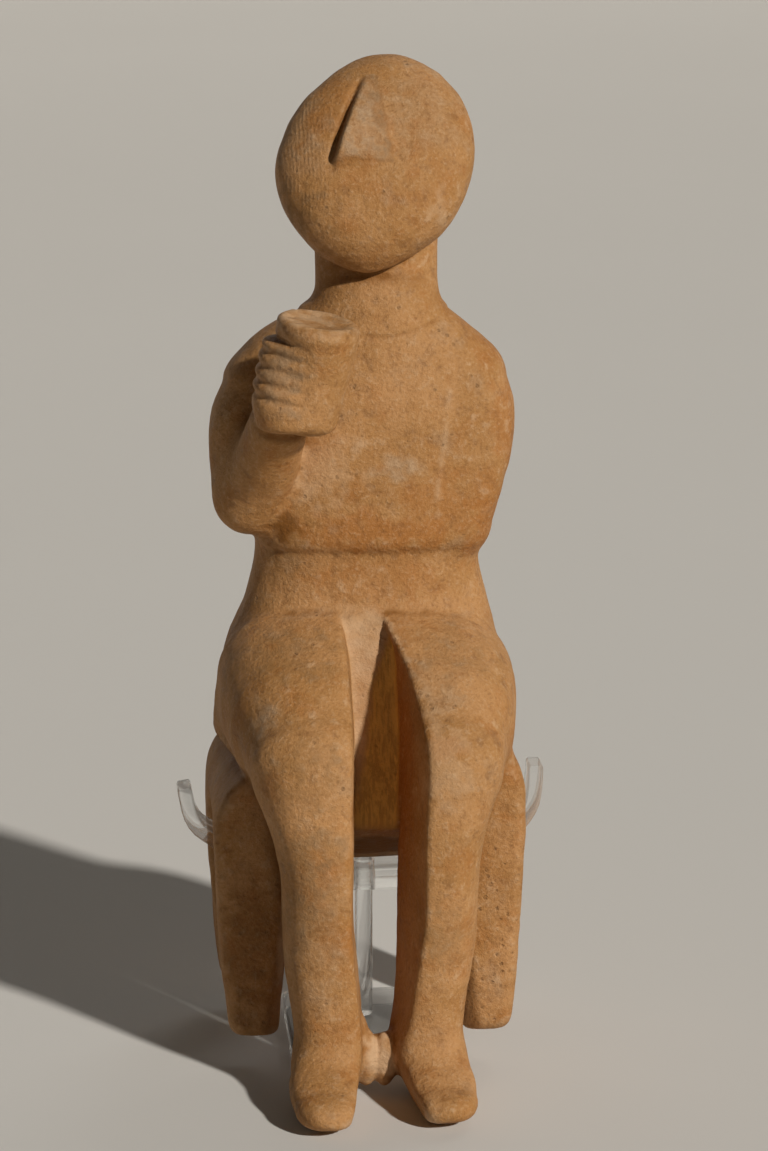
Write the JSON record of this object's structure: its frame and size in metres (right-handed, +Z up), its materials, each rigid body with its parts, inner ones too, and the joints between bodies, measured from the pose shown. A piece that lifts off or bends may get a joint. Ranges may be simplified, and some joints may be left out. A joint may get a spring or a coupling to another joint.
{
  "type": "cycladic figurine",
  "caption": "Seated marble figurine with its head thrown back, raising a cup from a stool cut from the same block, held on a clear acrylic cradle stand.",
  "frame": {"origin": "middle of the underside of the stand's foot plate", "axes": "+Z up, the figure faces -Y, and its raised right arm is on the -X side"},
  "size_m": [0.0561, 0.0599, 0.1521],
  "materials": {
    "marble": "matte, weathered, with a brown patina",
    "acrylic": "clear, polished"
  },
  "bodies": {
    "root": {"figurine": "marble", "stand_cradle": "acrylic", "stand_post": "acrylic", "stand_foot": "acrylic"}
  },
  "joints": []
}
